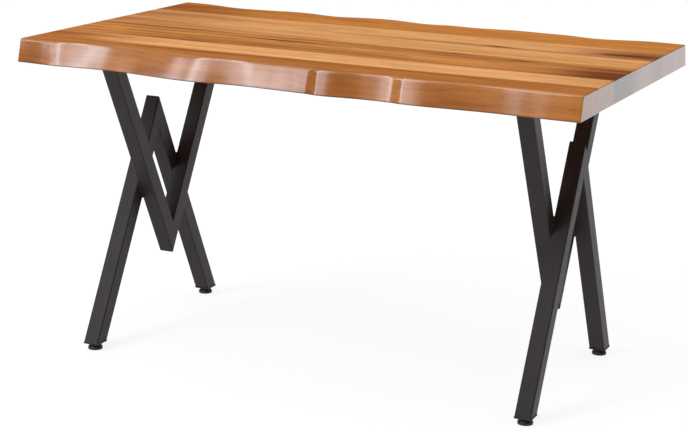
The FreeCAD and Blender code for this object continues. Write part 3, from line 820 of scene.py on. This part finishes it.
# %% [markdown]
# ## The lamps
#
# A tall white panel stands far off at the front left, with a brighter strip in front of its left part. They
# light the top and the front, and the wavy edge shows them as upright pale bands with brighter cores. A
# small panel further left brightens the parts of the edge that turn that way. A weak low panel behind the
# table, off to the right, shines along the sawn end. Spots would give hard shadows and small hot glints,
# so all four are broad.

# %% Hang the lamps
TABLE_EDGE = Vector((0, -0.4, 0.75))
LAMP_COLOUR = "#eaf3ff"

# Distances and sizes are in metres. A lamp's power follows its area, so strength is how bright its face is.
LAMPS = {
    "panel": dict(turn=31, rise=37, distance=6.0, size=(1.7, 4.2), strength=5.0),
    "strip": dict(turn=36, rise=37, distance=5.8, size=(0.5, 4.2), strength=7.3),
    "side_panel": dict(turn=49, rise=27.3, distance=6.0, size=(1.3, 0.65), strength=11.0),
    "low_panel": dict(turn=203, rise=-7, distance=4.0, size=(1.8, 0.5), strength=0.4),
}


def hang_lamp(name, turn, rise, distance, size, strength):
    """A lamp that faces the table's front edge.

    Turn runs clockwise from the front, seen from above, and rise runs upwards, both in degrees.
    """
    data = bpy.data.lights.new(name, "AREA")
    data.shape = "RECTANGLE"
    data.size, data.size_y = size
    data.energy = strength * math.pi * size[0] * size[1]
    data.color = linear(LAMP_COLOUR)[:3]
    level = math.cos(math.radians(rise))
    towards = Vector((-math.sin(math.radians(turn)) * level, -math.cos(math.radians(turn)) * level,
                      math.sin(math.radians(rise))))
    lamp = bpy.data.objects.new(name, data)
    lamp.location = TABLE_EDGE + towards * distance
    lamp.rotation_euler = towards.to_track_quat("Z", "Y").to_euler()
    bpy.context.scene.collection.objects.link(lamp)
    return data.energy


for name, lamp in LAMPS.items():
    print(name, round(hang_lamp(name, **lamp)), "W")

# %% [markdown]
# ## The room
#
# The rest of the light is the room: a pale ceiling, and walls that stay dim so that the top, seen at a low
# angle, keeps its colour. The camera sees a white backdrop instead of the room, and so do reflections that
# run low, where a backdrop would really stand. A modelled one would throw its own light on the table, so
# it is painted into the world, for those kinds of rays alone.

# %% Paint the room
CEILING_FROM, CEILING_FULL = 0.4, 0.85                 # heights on a globe of radius 1 round the table
BACKDROP_RIM = math.sin(math.radians(6))
WALLS, CEILING, ROOM_STRENGTH = "#606060", "#f2f2f2", 1.2

world = bpy.data.worlds.new("studio_room")
world.use_nodes = True
tree = world.node_tree
tree.nodes.clear()
direction = add_node(tree, "ShaderNodeTexCoord").outputs["Generated"]
height = add_node(tree, "ShaderNodeSeparateXYZ", {0: direction}).outputs["Z"]
ceiling = add_node(tree, "ShaderNodeMapRange", {
    "Value": height, "From Min": CEILING_FROM, "From Max": CEILING_FULL}, interpolation_type="SMOOTHSTEP")
room = add_node(tree, "ShaderNodeMix", {
    MIX_FACTOR: ceiling.outputs[0], MIX_A: linear(WALLS), MIX_B: linear(CEILING)}, data_type="RGBA")
lit_room = add_node(tree, "ShaderNodeBackground", {
    "Color": room.outputs[MIX_RESULT], "Strength": ROOM_STRENGTH})
backdrop = add_node(tree, "ShaderNodeBackground", {"Color": linear("#ffffff"), "Strength": 1.0})
rays = add_node(tree, "ShaderNodeLightPath").outputs
under_rim = add_node(tree, "ShaderNodeMath", {0: height, 1: BACKDROP_RIM}, operation="LESS_THAN")
mirrored = add_node(tree, "ShaderNodeMath", {
    0: rays["Is Glossy Ray"], 1: under_rim.outputs[0]}, operation="MULTIPLY")
seen = rays["Is Camera Ray"]
for ray in (rays["Is Transmission Ray"], mirrored.outputs[0]):
    seen = add_node(tree, "ShaderNodeMath", {0: seen, 1: ray}, operation="MAXIMUM").outputs[0]
surroundings = add_node(tree, "ShaderNodeMixShader", {
    0: seen, 1: lit_room.outputs[0], 2: backdrop.outputs[0]})
add_node(tree, "ShaderNodeOutputWorld", {"Surface": surroundings.outputs[0]})
bpy.context.scene.world = world
bpy.context.scene.view_settings.view_transform = "Standard"
print("ceiling colour:", [round(share, 2) for share in linear(CEILING)[:3]])
